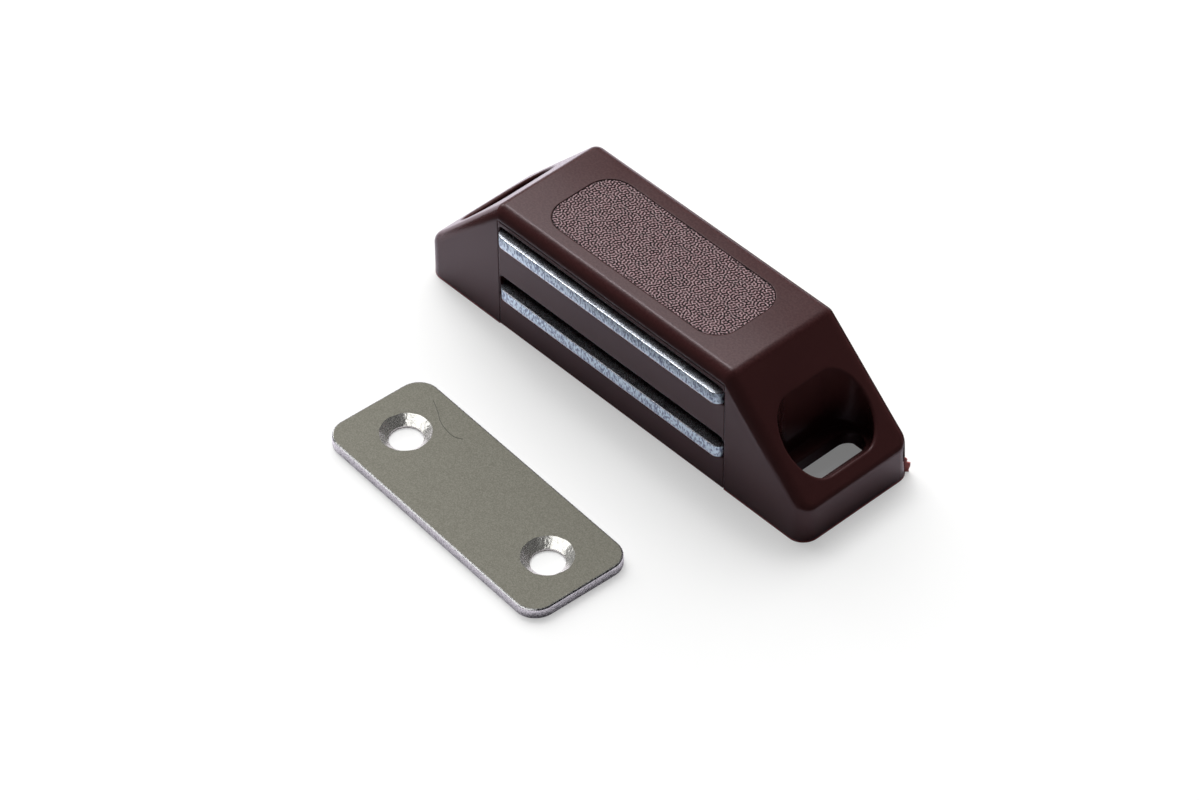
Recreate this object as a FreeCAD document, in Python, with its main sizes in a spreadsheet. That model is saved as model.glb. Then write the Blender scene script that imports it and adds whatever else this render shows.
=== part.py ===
"""Magnetic cabinet catch with its counter plate.

Millimetres, +Z up. The origin is the centre of the housing's base, +X runs along the housing
and -Y is the pulling side, where the two pole plates stand proud of the front.
"""
import FreeCAD, Part
import Sketcher
import math
import os

OUT_DIR = "parts"
SHEET = "Sizes"

# Driving dimensions: alias, value, what it is
DIMENSIONS = [
    ("magnet_length", 32.0, "ferrite block"),
    ("magnet_depth", 10.0, "ferrite block"),
    ("magnet_height", 6.0, "ferrite block, between the pole plates"),
    ("magnet_chamfer", 0.35, "broken edges of the ferrite block"),
    ("plate_thickness", 1.5, "pole plate"),
    ("plate_overhang", 1.0, "pole plate past each end of the magnet"),
    ("plate_proud", 0.4, "pole faces in front of the base line of the front"),
    ("plate_rear_gap", 0.4, "pole plate to the inside of the back wall, at rest"),
    ("plate_radius", 1.1, "front corners of a pole plate"),
    ("plate_edge", 0.16, "rounding of a pole plate's front edges"),
    ("front_play", 0.3, "magnet to the inside of the front wall, at rest"),
    ("back_space", 2.5, "magnet to the inside of the back wall"),
    ("seat_gap", 0.05, "lower pole plate over the sill it rests on"),
    ("headroom", 1.3, "roof of the cavity over the upper pole plate"),
    ("slot_sill", 4.25, "bottom edge of the lower slot above the base"),
    ("slot_height", 2.8, "lower pole slot in the front wall"),
    ("upper_slot_height", 2.2, "upper pole slot"),
    ("slot_end_gap", 0.15, "pole plate to each end of its slot"),
    ("slot_radius", 0.6, "upper corners of the pole slots"),
    ("slot_foot_radius", 0.3, "lower corners of the pole slots, beside the plate's ends"),
    ("slot_edge", 0.1, "broken outer edges of the pole slots"),
    ("end_space", 2.15, "cavity past each end of the pole slots"),
    ("top_margin", 0.45, "flat top past each end of the pole slots"),
    ("foot_height", 4.4, "upright end below each slope"),
    ("plan_radius", 2.0, "upright corners"),
    ("mould_draft", 1.35, "lean of the outer walls, degrees"),
    ("crown_radius", 1.3, "rounding round the top and the slopes"),
    ("wall", 1.5, "wall of the moulding at the base"),
    ("roof", 1.5, "wall over the magnet"),
    ("slope_wall", 2.1, "wall of the slopes, measured along the housing"),
    ("panel_length", 26.8, "grained panel on the top"),
    ("panel_width", 10.1, "grained panel on the top"),
    ("panel_radius", 3.0, "corners of the grained panel"),
    ("panel_depth", 0.08, "the panel lies this much below the top"),
    ("core_margin", 0.15, "joint line of the mould's side core past each end of the slots"),
    ("core_top_margin", 0.78, "that joint line over the upper slot"),
    ("core_line", 0.12, "width of that joint line"),
    ("core_line_depth", 0.08, "depth of that joint line"),
    ("core_step", 0.14, "front inside that joint line ends this much above the base"),
    ("guide_rib_gap", 0.3, "pole plate's end to the guide ribs"),
    ("guide_rib_foot", 1.6, "lower end of the guide ribs above the base"),
    ("guide_rib_width", 1.2, "guide ribs in the ends of the cavity"),
    ("guide_rib_offset", 3.4, "guide ribs from the middle, front and back"),
    ("hold_rib_width", 1.2, "ribs under the roof that limit the lift"),
    ("hold_rib_offset", 9.5, "ribs under the roof from the middle"),
    ("lift_play", 0.55, "upper pole plate to the ribs under the roof"),
    ("lug_width", 5.0, "snap lugs on the back wall"),
    ("lug_reach", 0.95, "snap lugs under the lower pole plate"),
    ("lug_lip", 0.6, "upright nose of a snap lug"),
    ("lug_ramp", 1.5, "sloped lead-in below the nose"),
    ("lug_offset", 9.5, "snap lugs from the middle"),
    ("pocket_wall", 1.72, "wall between the cavity and a screw pocket"),
    ("end_wall", 1.68, "wall between a screw pocket and the housing's end"),
    ("pocket_width", 6.3, "screw pocket along the housing"),
    ("pocket_length", 11.2, "screw pocket across the housing"),
    ("pocket_floor", 4.0, "floor of a screw pocket above the base"),
    ("pocket_rim", 0.3, "rounding of a screw pocket's rim"),
    ("screw_slot_width", 3.3, "slot for the screw's shank"),
    ("screw_slot_length", 9.9, "slot for the screw's shank"),
    ("screw_seat_width", 3.6, "broken edge of the slot, at the pocket's floor"),
    ("screw_seat_depth", 0.15, "depth of that broken edge"),
    ("screw_seat_angle", 45.0, "lean of that broken edge, degrees"),
    ("foot_hollow", 2.3, "hollow under each pocket's floor"),
    ("strike_length", 34.9, "counter plate"),
    ("strike_width", 13.2, "counter plate"),
    ("strike_thickness", 1.25, "counter plate"),
    ("strike_radius", 2.5, "corners of the counter plate"),
    ("strike_roll", 0.35, "rolled upper edge of the counter plate"),
    ("strike_burr", 0.1, "broken lower edge of the counter plate"),
    ("hole_spacing", 23.5, "screw holes of the counter plate"),
    ("hole_diameter", 3.7, "screw holes of the counter plate"),
    ("hole_seat_diameter", 5.6, "countersink of a screw hole, at the top"),
    ("hole_seat_depth", 0.95, "depth of that countersink"),
    ("strike_x", 1.0, "counter plate's middle, along the housing"),
    ("strike_y", -27.4, "counter plate's middle, in front of the housing"),
    ("strike_turn", -3.2, "counter plate's turn about the upright, degrees"),
]

# Cutting tools run this far past the material
OVERRUN = 3.0
# Ribs and lugs run this far into the wall that carries them
ROOT = 0.4
TOLERANCE = 1e-4


class Size:
    """A value of the sheet, or worked out from several, with its number and its formula."""

    def __init__(self, number, formula):
        self.number = number
        self.formula = formula

    @staticmethod
    def of(value):
        return value if isinstance(value, Size) else Size(float(value), repr(float(value)))

    def join(self, other, number, sign):
        return Size(number, f"({self.formula} {sign} {Size.of(other).formula})")

    def __add__(self, other):
        return self.join(other, self.number + Size.of(other).number, "+")

    def __sub__(self, other):
        return self.join(other, self.number - Size.of(other).number, "-")

    def __mul__(self, other):
        return self.join(other, self.number * Size.of(other).number, "*")

    def __truediv__(self, other):
        return self.join(other, self.number / Size.of(other).number, "/")

    def __neg__(self):
        return Size(-self.number, f"(-1 * {self.formula})")


def make_sheet(doc):
    """Write the driving dimensions into a spreadsheet and give each one back by its alias."""
    sheet = doc.addObject("Spreadsheet::Sheet", SHEET)
    sizes = {}
    for row, (alias, value, meaning) in enumerate(DIMENSIONS, start=1):
        sheet.set(f"A{row}", alias)
        sheet.set(f"B{row}", str(value))
        sheet.set(f"C{row}", meaning)
        sheet.setAlias(f"B{row}", alias)
        sizes[alias] = Size(value, f"{SHEET}.{alias}")
    doc.recompute()
    return sizes


def bind(item, **sizes):
    """Tie properties of a document object to sheet formulas."""
    for name, size in sizes.items():
        item.setExpression(name.replace("__", "."), Size.of(size).formula)


def origin_plane(body, role):
    return next(item for item in body.Origin.OriginFeatures if item.Role == role)


def new_body(doc, label):
    body = doc.addObject("PartDesign::Body", label.title().replace("_", ""))
    body.Label = label
    return body


def new_sketch(body, name, role, offset=0.0, lean=None):
    """A sketch on an origin plane of the body, moved along its normal and leaned about its X."""
    sketch = body.newObject("Sketcher::SketchObject", name)
    sketch.AttachmentSupport = [(origin_plane(body, role), "")]
    sketch.MapMode = "FlatFace"
    if lean is not None:
        turn = FreeCAD.Rotation(FreeCAD.Vector(1, 0, 0), lean.number)
        sketch.AttachmentOffset = FreeCAD.Placement(FreeCAD.Vector(), turn)
        bind(sketch, AttachmentOffset__Rotation__Angle=lean)
    bind(sketch, AttachmentOffset__Base__z=offset)
    return sketch


def fix(sketch, kind, *where, size):
    """Add a driving constraint whose value follows the sheet."""
    size = Size.of(size)
    index = sketch.addConstraint(Sketcher.Constraint(kind, *where, size.number))
    sketch.setExpression(f"Constraints[{index}]", size.formula)


def pin_point(sketch, curve, end, x, y):
    """Hold a curve's start (1), end (2) or centre (3) at x, y from the sketch's origin."""
    fix(sketch, "DistanceX", -1, 1, curve, end, size=x)
    fix(sketch, "DistanceY", -1, 1, curve, end, size=y)


def vector(x, y):
    return FreeCAD.Vector(Size.of(x).number, Size.of(y).number, 0)


def polygon(sketch, corners):
    """A closed outline through the corners, each held by its own two distances."""
    first = sketch.GeometryCount
    count = len(corners)
    for index, corner in enumerate(corners):
        following = corners[(index + 1) % count]
        sketch.addGeometry(Part.LineSegment(vector(*corner), vector(*following)), False)
    for index, corner in enumerate(corners):
        before = first + (index - 1) % count
        sketch.addConstraint(Sketcher.Constraint("Coincident", before, 2, first + index, 1))
        pin_point(sketch, first + index, 1, *corner)


def rectangle(sketch, left, right, bottom, top):
    polygon(sketch, [(left, bottom), (right, bottom), (right, top), (left, top)])


def arc(centre, radius, start, sweep):
    """An arc of a circle, its start from +X and its sweep in radians."""
    circle = Part.Circle(vector(*centre), FreeCAD.Vector(0, 0, 1), Size.of(radius).number)
    return Part.ArcOfCircle(circle, start, start + sweep)


def close_with_lines(sketch, arcs, centres, radii):
    """Draw the arcs, join each to the next by a tangent line, and hold centres and radii."""
    first = sketch.GeometryCount
    count = len(arcs)
    for curve in arcs:
        sketch.addGeometry(curve, False)
    for index, curve in enumerate(arcs):
        following = arcs[(index + 1) % count]
        sketch.addGeometry(Part.LineSegment(curve.EndPoint, following.StartPoint), False)
    for index, (centre, radius) in enumerate(zip(centres, radii)):
        line = first + count + index
        following = first + (index + 1) % count
        sketch.addConstraint(Sketcher.Constraint("Tangent", first + index, 2, line, 1))
        sketch.addConstraint(Sketcher.Constraint("Tangent", line, 2, following, 1))
        pin_point(sketch, first + index, 3, *centre)
        fix(sketch, "Radius", first + index, size=radius)


def rounded_rectangle(sketch, left, right, bottom, top, radius, low_radius=None):
    """A rectangle with rounded corners, drawn anticlockwise. Its lower two may be tighter."""
    low = low_radius or radius
    centres = [
        (right - radius, top - radius),
        (left + radius, top - radius),
        (left + low, bottom + low),
        (right - low, bottom + low),
    ]
    radii = [radius, radius, low, low]
    quarter = math.pi / 2
    arcs = [arc(centre, corner, turn * quarter, quarter)
            for turn, (centre, corner) in enumerate(zip(centres, radii))]
    close_with_lines(sketch, arcs, centres, radii)


def stadium(sketch, middle_x, width, length):
    """A slot with round ends, long in the sketch's Y and centred on it."""
    radius = width / 2
    reach = length / 2 - radius
    centres = [(middle_x, reach), (middle_x, -reach)]
    arcs = [arc(centres[0], radius, 0, math.pi), arc(centres[1], radius, math.pi, math.pi)]
    close_with_lines(sketch, arcs, centres, [radius, radius])


def extrude(body, kind, name, sketch, length=None, symmetric=False, reverse=False, lean=None):
    """A pad or pocket of the sketch: of a length, or through all when no length is given."""
    feature = body.newObject(kind, name)
    feature.Profile = sketch
    feature.Type = "ThroughAll" if length is None else "Length"
    if length is not None:
        bind(feature, Length=length)
    if symmetric:
        feature.SideType = "Symmetric"
    feature.Reversed = reverse
    if lean is not None:
        bind(feature, TaperAngle=lean)
    sketch.Visibility = False
    return feature


def pad(body, name, sketch, length, **options):
    return extrude(body, "PartDesign::Pad", name, sketch, length, **options)


def pocket(body, name, sketch, length=None, **options):
    """A pocket, which has to take material away."""
    before = body.Shape.Volume
    feature = extrude(body, "PartDesign::Pocket", name, sketch, length, **options)
    body.Document.recompute()
    if feature.Shape.Volume >= before - TOLERANCE:
        raise RuntimeError(f"{name} cuts nothing")
    return feature


def mirror(body, name, feature, role):
    """Repeat a feature on the other side of an origin plane."""
    mirrored = body.newObject("PartDesign::Mirrored", name)
    mirrored.Originals = [feature]
    mirrored.MirrorPlane = (origin_plane(body, role), [""])
    body.Tip = mirrored
    body.Document.recompute()
    return mirrored


def edge_names(feature, wanted):
    """The names of the edges whose two end points and middle all pass the test."""
    names = []
    for index, edge in enumerate(feature.Shape.Edges, start=1):
        middle = edge.valueAt((edge.FirstParameter + edge.LastParameter) / 2)
        points = [vertex.Point for vertex in edge.Vertexes] + [middle]
        if all(wanted(point) for point in points):
            names.append(f"Edge{index}")
    return names


def dress(body, kind, name, feature, wanted, **size):
    """A fillet or chamfer on the edges of the last feature that pass the test."""
    dressed = body.newObject(kind, name)
    dressed.Base = (feature, edge_names(feature, wanted))
    bind(dressed, **size)
    body.Document.recompute()
    return dressed


def housing_shell(body, size):
    """The outer form: a drafted block whose two ends are sloped off, rounded all round."""
    half_length = housing_half_length(size)
    half_depth = housing_half_depth(size)
    half_top = top_half_length(size)
    height = housing_height(size)
    foot = size["foot_height"]

    footprint = new_sketch(body, "Footprint", "XY_Plane")
    rounded_rectangle(footprint, -half_length, half_length, -half_depth, half_depth,
                      size["plan_radius"])
    pad(body, "Block", footprint, height, lean=-size["mould_draft"])
    body.Document.recompute()

    side = new_sketch(body, "SlopeProfile", "XZ_Plane")
    polygon(side, [(half_top, height), (half_length, foot), (half_length + OVERRUN, foot),
                   (half_length + OVERRUN, height + OVERRUN), (half_top, height + OVERRUN)])
    right = pocket(body, "RightSlope", side, symmetric=True)
    sloped = mirror(body, "BothSlopes", right, "YZ_Plane")

    drop = slope_steepness(size).number

    def on_crown(point):
        slope = height.number - drop * (abs(point.x) - half_top.number)
        return abs(point.z - min(height.number, slope)) < TOLERANCE

    dress(body, "PartDesign::Fillet", "CrownRounding", sloped, on_crown,
          Radius=size["crown_radius"])


def housing_cavity(body, size):
    """The room for the magnet, open below, with the roof following the slopes."""
    half = cavity_half_length(size)
    ceiling = ceiling_level(size)
    slope = slope_steepness(size)
    bend = top_half_length(size) - size["slope_wall"] + size["roof"] / slope
    shoulder = ceiling - (half - bend) * slope

    profile = new_sketch(body, "CavityProfile", "XZ_Plane")
    polygon(profile, [(-half, -OVERRUN), (half, -OVERRUN), (half, shoulder), (bend, ceiling),
                      (-bend, ceiling), (-half, shoulder)])
    pocket(body, "Cavity", profile, inner_half_depth(size) * 2, symmetric=True)
    return bend, shoulder


def housing_ribs(body, size, bend, shoulder):
    """Guide ribs at the cavity's ends, hold-down ribs under its roof and two snap lugs."""
    half = cavity_half_length(size)
    ceiling = ceiling_level(size)
    inner = plate_half_length(size) + size["guide_rib_gap"]
    foot = size["guide_rib_foot"]
    guide = new_sketch(body, "GuideRibProfile", "XZ_Plane",
                       size["guide_rib_offset"] - size["guide_rib_width"] / 2)
    polygon(guide, [(inner, foot), (half + ROOT, foot), (half + ROOT, shoulder),
                    (bend, ceiling + ROOT), (inner, ceiling + ROOT)])
    polygon(guide, [(-inner, foot), (-inner, ceiling + ROOT), (-bend, ceiling + ROOT),
                    (-half - ROOT, shoulder), (-half - ROOT, foot)])
    front = pad(body, "GuideRibsFront", guide, size["guide_rib_width"])
    mirror(body, "GuideRibs", front, "XZ_Plane")

    middle = size["hold_rib_offset"]
    side = size["hold_rib_width"] / 2
    hold = new_sketch(body, "HoldRibProfile", "XZ_Plane")
    bottom = plate_levels(size)[1] + size["plate_thickness"] + size["lift_play"]
    rectangle(hold, middle - side, middle + side, bottom, ceiling + ROOT)
    rectangle(hold, -middle - side, -middle + side, bottom, ceiling + ROOT)
    pad(body, "HoldRibs", hold, inner_half_depth(size) * 2, symmetric=True)

    back = inner_half_depth(size)
    nose = back - size["lug_reach"]
    top = size["slot_sill"]
    lug = new_sketch(body, "LugProfile", "YZ_Plane", size["lug_offset"] - size["lug_width"] / 2)
    polygon(lug, [(back + ROOT, top - size["lug_lip"] - size["lug_ramp"]),
                  (back, top - size["lug_lip"] - size["lug_ramp"]),
                  (nose, top - size["lug_lip"]), (nose, top), (back + ROOT, top)])
    right = pad(body, "RightLug", lug, size["lug_width"])
    mirror(body, "SnapLugs", right, "YZ_Plane")


def housing_front(body, size):
    """The two pole slots, and what the mould's side core leaves: a fine joint line and a step."""
    half = slot_half_length(size)
    front = housing_half_depth(size)
    slots = new_sketch(body, "PoleSlots", "XZ_Plane")
    lower, upper = slot_sills(size)
    top = upper + size["upper_slot_height"]
    for sill, head in ((lower, lower + size["slot_height"]), (upper, top)):
        rounded_rectangle(slots, -half, half, sill, head,
                          size["slot_radius"], size["slot_foot_radius"])
    cut = pocket(body, "SlotCut", slots, reverse=True)

    drafted = math.tan(math.radians(size["mould_draft"].number))

    def on_slot_mouth(point):
        in_front = abs(point.y + front.number - point.z * drafted) < TOLERANCE
        beside = abs(point.x) < half.number + TOLERANCE
        return in_front and beside and lower.number - TOLERANCE < point.z < top.number + TOLERANCE

    dress(body, "PartDesign::Chamfer", "SlotEdges", cut, on_slot_mouth, Size=size["slot_edge"])

    half_core = half + size["core_margin"]
    width = size["core_line"]
    head = top + size["core_top_margin"]
    joint = new_sketch(body, "CoreLine", "XZ_Plane", front + OVERRUN, lean=-size["mould_draft"])
    polygon(joint, [(-half_core, -OVERRUN), (-half_core + width, -OVERRUN),
                    (-half_core + width, head - width), (half_core - width, head - width),
                    (half_core - width, -OVERRUN), (half_core, -OVERRUN), (half_core, head),
                    (-half_core, head)])
    pocket(body, "CoreLineCut", joint, size["core_line_depth"] + OVERRUN)

    mark = new_sketch(body, "CoreMark", "XY_Plane")
    rectangle(mark, -half_core, half_core, -front - OVERRUN, -inner_half_depth(size))
    pocket(body, "CoreStep", mark, size["core_step"], reverse=True)


def housing_panel(body, size):
    """The shallow grained panel in the top."""
    half_length = size["panel_length"] / 2
    half_width = size["panel_width"] / 2
    panel = new_sketch(body, "PanelOutline", "XY_Plane", housing_height(size))
    rounded_rectangle(panel, -half_length, half_length, -half_width, half_width,
                      size["panel_radius"])
    pocket(body, "Panel", panel, size["panel_depth"])


def housing_screw_seats(body, size):
    """In each slope a pocket for the screw's head, and in its floor a slot for the shank."""
    middle = pocket_middle(size)
    floor = size["pocket_floor"]

    wells = new_sketch(body, "PocketOutline", "XY_Plane", floor)
    stadium(wells, middle, size["pocket_width"], size["pocket_length"])
    stadium(wells, -middle, size["pocket_width"], size["pocket_length"])
    cut = pocket(body, "ScrewPockets", wells, reverse=True)

    reach = size["pocket_width"].number / 2
    half = size["pocket_length"].number / 2
    straight = half - reach

    def on_rim(point):
        along = abs(abs(point.x) - middle.number)
        across = max(abs(point.y) - straight, 0.0)
        away = (along ** 2 + across ** 2) ** 0.5
        return abs(away - reach) < TOLERANCE and point.z > floor.number + TOLERANCE

    dress(body, "PartDesign::Fillet", "PocketRims", cut, on_rim, Radius=size["pocket_rim"])

    shank = new_sketch(body, "ShankOutline", "XY_Plane", floor)
    stadium(shank, middle, size["screw_slot_width"], size["screw_slot_length"])
    stadium(shank, -middle, size["screw_slot_width"], size["screw_slot_length"])
    pocket(body, "ShankSlots", shank)

    flare = size["screw_seat_width"] - size["screw_slot_width"]
    seat = new_sketch(body, "SeatOutline", "XY_Plane", floor)
    stadium(seat, middle, size["screw_seat_width"], size["screw_slot_length"] + flare)
    stadium(seat, -middle, size["screw_seat_width"], size["screw_slot_length"] + flare)
    pocket(body, "ScrewSeats", seat, size["screw_seat_depth"], lean=-size["screw_seat_angle"])

    inner = cavity_half_length(size) + size["wall"]
    outer = housing_half_length(size) - size["wall"]
    edge = inner_half_depth(size)
    corner = size["plan_radius"] / 2
    hollow = new_sketch(body, "FootHollow", "XY_Plane")
    rounded_rectangle(hollow, inner, outer, -edge, edge, corner)
    rounded_rectangle(hollow, -outer, -inner, -edge, edge, corner)
    pocket(body, "FootHollows", hollow, size["foot_hollow"], reverse=True)


def make_housing(doc, size):
    body = new_body(doc, "housing")
    housing_shell(body, size)
    room = housing_cavity(body, size)
    housing_ribs(body, size, *room)
    housing_front(body, size)
    housing_panel(body, size)
    housing_screw_seats(body, size)
    return body


# The housing is sized from the magnet outwards, so the lengths below are worked out in turn
def plate_half_length(size):
    return size["magnet_length"] / 2 + size["plate_overhang"]


def slot_half_length(size):
    return plate_half_length(size) + size["slot_end_gap"]


def cavity_half_length(size):
    return slot_half_length(size) + size["end_space"]


def top_half_length(size):
    return slot_half_length(size) + size["top_margin"]


def pocket_middle(size):
    return cavity_half_length(size) + size["pocket_wall"] + size["pocket_width"] / 2


def housing_half_length(size):
    return pocket_middle(size) + size["pocket_width"] / 2 + size["end_wall"]


def inner_half_depth(size):
    """Middle of the housing to the inside of its front and back walls."""
    return (size["front_play"] + size["magnet_depth"] + size["back_space"]) / 2


def housing_half_depth(size):
    return inner_half_depth(size) + size["wall"]


def pole_face(size):
    """How far the pole faces stand in front of the middle of the housing."""
    return housing_half_depth(size) + size["plate_proud"]


def ceiling_level(size):
    return plate_levels(size)[1] + size["plate_thickness"] + size["headroom"]


def housing_height(size):
    return ceiling_level(size) + size["roof"]


def slope_steepness(size):
    """Drop of a sloped end for each millimetre along the housing."""
    run = housing_half_length(size) - top_half_length(size)
    return (housing_height(size) - size["foot_height"]) / run


def slot_sills(size):
    """Bottom edges of the lower and the upper pole slot, one magnet and one plate apart."""
    lower = size["slot_sill"]
    return lower, lower + size["plate_thickness"] + size["magnet_height"] - size["seat_gap"]


def plate_levels(size):
    """Undersides of the lower and the upper pole plate."""
    lower = size["slot_sill"] + size["seat_gap"]
    return lower, lower + size["plate_thickness"] + size["magnet_height"]


def make_pole_plate(doc, size, label, level):
    """A flat steel strip whose two front corners and front edges are rounded."""
    body = new_body(doc, label)
    half = plate_half_length(size)
    depth = pole_face(size) + inner_half_depth(size) - size["plate_rear_gap"]
    thickness = size["plate_thickness"]
    outline = new_sketch(body, "Outline", "XY_Plane")
    rectangle(outline, -half, half, 0, depth)
    strip = pad(body, "Strip", outline, thickness)
    doc.recompute()

    def at_front_corner(point):
        return abs(abs(point.x) - half.number) < TOLERANCE and abs(point.y) < TOLERANCE

    corners = dress(body, "PartDesign::Fillet", "FrontCorners", strip, at_front_corner,
                    Radius=size["plate_radius"])

    def round_the_front(point):
        level_edge = min(abs(point.z), abs(point.z - thickness.number)) < TOLERANCE
        return level_edge and point.y < depth.number - TOLERANCE

    front = edge_names_touching(corners, round_the_front)
    softened = body.newObject("PartDesign::Fillet", "FrontEdges")
    softened.Base = (corners, front)
    bind(softened, Radius=size["plate_edge"])
    bind(body, Placement__Base__z=level, Placement__Base__y=-pole_face(size))
    doc.recompute()
    return body


def edge_names_touching(feature, wanted):
    """The names of the edges whose middle passes the test."""
    names = []
    for index, edge in enumerate(feature.Shape.Edges, start=1):
        if wanted(edge.valueAt((edge.FirstParameter + edge.LastParameter) / 2)):
            names.append(f"Edge{index}")
    return names


def make_magnet(doc, size):
    """The ferrite block between the pole plates, its edges broken by grinding."""
    body = new_body(doc, "magnet")
    half = size["magnet_length"] / 2
    outline = new_sketch(body, "Outline", "XY_Plane")
    rectangle(outline, -half, half, 0, size["magnet_depth"])
    block = pad(body, "Block", outline, size["magnet_height"])
    doc.recompute()

    def at_upright_corner(point):
        return (abs(abs(point.x) - half.number) < TOLERANCE
                and min(abs(point.y), abs(point.y - size["magnet_depth"].number)) < TOLERANCE)

    dress(body, "PartDesign::Chamfer", "BrokenEdges", block, at_upright_corner,
          Size=size["magnet_chamfer"])
    bind(body, Placement__Base__z=plate_levels(size)[0] + size["plate_thickness"],
         Placement__Base__y=size["front_play"] - inner_half_depth(size))
    return body


def make_strike_plate(doc, size):
    """The counter plate for the door: stamped, with a rolled upper edge and two screw holes."""
    body = new_body(doc, "strike_plate")
    half_length = size["strike_length"] / 2
    half_width = size["strike_width"] / 2
    thickness = size["strike_thickness"]
    outline = new_sketch(body, "Outline", "XY_Plane")
    rounded_rectangle(outline, -half_length, half_length, -half_width, half_width,
                      size["strike_radius"])
    blank = pad(body, "Blank", outline, thickness)
    doc.recompute()
    rolled = dress(body, "PartDesign::Fillet", "RolledEdge", blank,
                   lambda point: abs(point.z - thickness.number) < TOLERANCE,
                   Radius=size["strike_roll"])
    dress(body, "PartDesign::Chamfer", "LowerEdge", rolled,
          lambda point: abs(point.z) < TOLERANCE, Size=size["strike_burr"])

    # Half section of both countersunk holes, turned about the middle of each
    radius = size["hole_diameter"] / 2
    seat = size["hole_seat_diameter"] / 2
    middle = size["hole_spacing"] / 2
    section = new_sketch(body, "HoleSection", "XZ_Plane")
    polygon(section, [(middle, -OVERRUN), (middle + radius, -OVERRUN),
                      (middle + radius, thickness - size["hole_seat_depth"]),
                      (middle + seat, thickness),
                      (middle + seat, thickness + OVERRUN), (middle, thickness + OVERRUN)])
    hole = body.newObject("PartDesign::Groove", "RightHole")
    hole.Profile = section
    hole.ReferenceAxis = (section, ["Edge6"])
    hole.Angle = 360
    doc.recompute()
    mirror(body, "ScrewHoles", hole, "YZ_Plane")

    body.Placement = FreeCAD.Placement(
        FreeCAD.Vector(), FreeCAD.Rotation(FreeCAD.Vector(0, 0, 1), size["strike_turn"].number))
    bind(body, Placement__Base__x=size["strike_x"], Placement__Base__y=size["strike_y"],
         Placement__Rotation__Angle=size["strike_turn"])
    return body


def check(doc, bodies):
    """Stop if any object failed or any sub-part is not one valid solid."""
    for item in doc.Objects:
        if "Invalid" in item.State or "Error" in item.State:
            raise RuntimeError(f"{item.Name} failed: {item.State}")
    for body in bodies:
        shape = body.Shape
        if shape.isNull() or not shape.isValid() or len(shape.Solids) != 1:
            raise RuntimeError(f"{body.Label} is not one valid solid")


def main():
    doc = FreeCAD.newDocument("magnetic_catch")
    size = make_sheet(doc)
    lower, upper = plate_levels(size)
    bodies = [
        make_housing(doc, size),
        make_pole_plate(doc, size, "lower_pole_plate", lower),
        make_pole_plate(doc, size, "upper_pole_plate", upper),
        make_magnet(doc, size),
        make_strike_plate(doc, size),
    ]
    doc.recompute()
    check(doc, bodies)
    os.makedirs(OUT_DIR, exist_ok=True)
    for body in bodies:
        body.Shape.exportStep(os.path.join(OUT_DIR, f"{body.Label}.step"))
        box = body.Shape.BoundBox
        print(f"{body.Label}: {body.Shape.Volume:.1f} mm3, x {box.XMin:.2f} {box.XMax:.2f}, "
              f"y {box.YMin:.2f} {box.YMax:.2f}, z {box.ZMin:.2f} {box.ZMax:.2f}")


main()
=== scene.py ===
# %% [markdown]
# A magnetic catch for a cabinet door and its counter plate. The moulded brown housing screws
# to the cabinet, a magnet between two steel pole plates floats inside it, and the drilled
# plate goes on the door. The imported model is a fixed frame: every piece made here takes its
# place from it, and one unit is one metre.

# %% Load the frame
import math
import random

import bmesh
import bpy
from mathutils import Matrix, Vector, noise


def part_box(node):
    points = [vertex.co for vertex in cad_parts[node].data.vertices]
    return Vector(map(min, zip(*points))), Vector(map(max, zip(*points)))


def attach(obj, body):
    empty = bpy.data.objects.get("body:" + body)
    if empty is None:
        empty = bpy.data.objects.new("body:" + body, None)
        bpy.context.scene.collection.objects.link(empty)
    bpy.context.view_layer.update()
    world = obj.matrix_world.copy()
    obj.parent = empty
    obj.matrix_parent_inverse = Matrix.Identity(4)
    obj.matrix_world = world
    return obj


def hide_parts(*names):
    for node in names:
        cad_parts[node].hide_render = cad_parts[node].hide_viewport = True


MM = 0.001

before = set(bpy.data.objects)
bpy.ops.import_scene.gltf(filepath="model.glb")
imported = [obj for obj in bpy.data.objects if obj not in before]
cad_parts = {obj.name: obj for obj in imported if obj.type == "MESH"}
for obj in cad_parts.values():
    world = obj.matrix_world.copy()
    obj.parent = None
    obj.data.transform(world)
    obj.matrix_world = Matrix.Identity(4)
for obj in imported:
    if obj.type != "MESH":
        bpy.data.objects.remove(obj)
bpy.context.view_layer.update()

# %% [markdown]
# The camera is the first thing to settle, because every finish is judged through it. The
# photograph was taken from in front and to the right, a good 40 degrees above the table, with
# a long lens. Three turns give that view: round the upright, down to the object, and a small
# roll. The picture's middle lies a few millimetres from the housing's origin.

# %% Camera
AZIMUTH = math.radians(48.896)
ELEVATION = math.radians(44.083)
ROLL = math.radians(-1.89)
DISTANCE = 524.9 * MM
ORIGIN_RIGHT = 6.839 * MM
ORIGIN_UP = 3.306 * MM
FOCAL_LENGTH = 149.52
FILM_WIDTH = 36.0


def add_camera():
    turn = (Matrix.Rotation(AZIMUTH, 3, "Z") @ Matrix.Rotation(math.pi / 2 - ELEVATION, 3, "X")
            @ Matrix.Rotation(ROLL, 3, "Z"))
    right, up, back = turn.col
    place = back * DISTANCE - right * ORIGIN_RIGHT - up * ORIGIN_UP
    bpy.ops.object.camera_add(location=place, rotation=turn.to_euler())
    camera = bpy.context.object
    camera.name = "photo_camera"
    camera.data.lens = FOCAL_LENGTH
    camera.data.sensor_width = FILM_WIDTH
    bpy.context.scene.camera = camera
    return camera


print("camera at", [round(c, 3) for c in add_camera().location])

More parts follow.
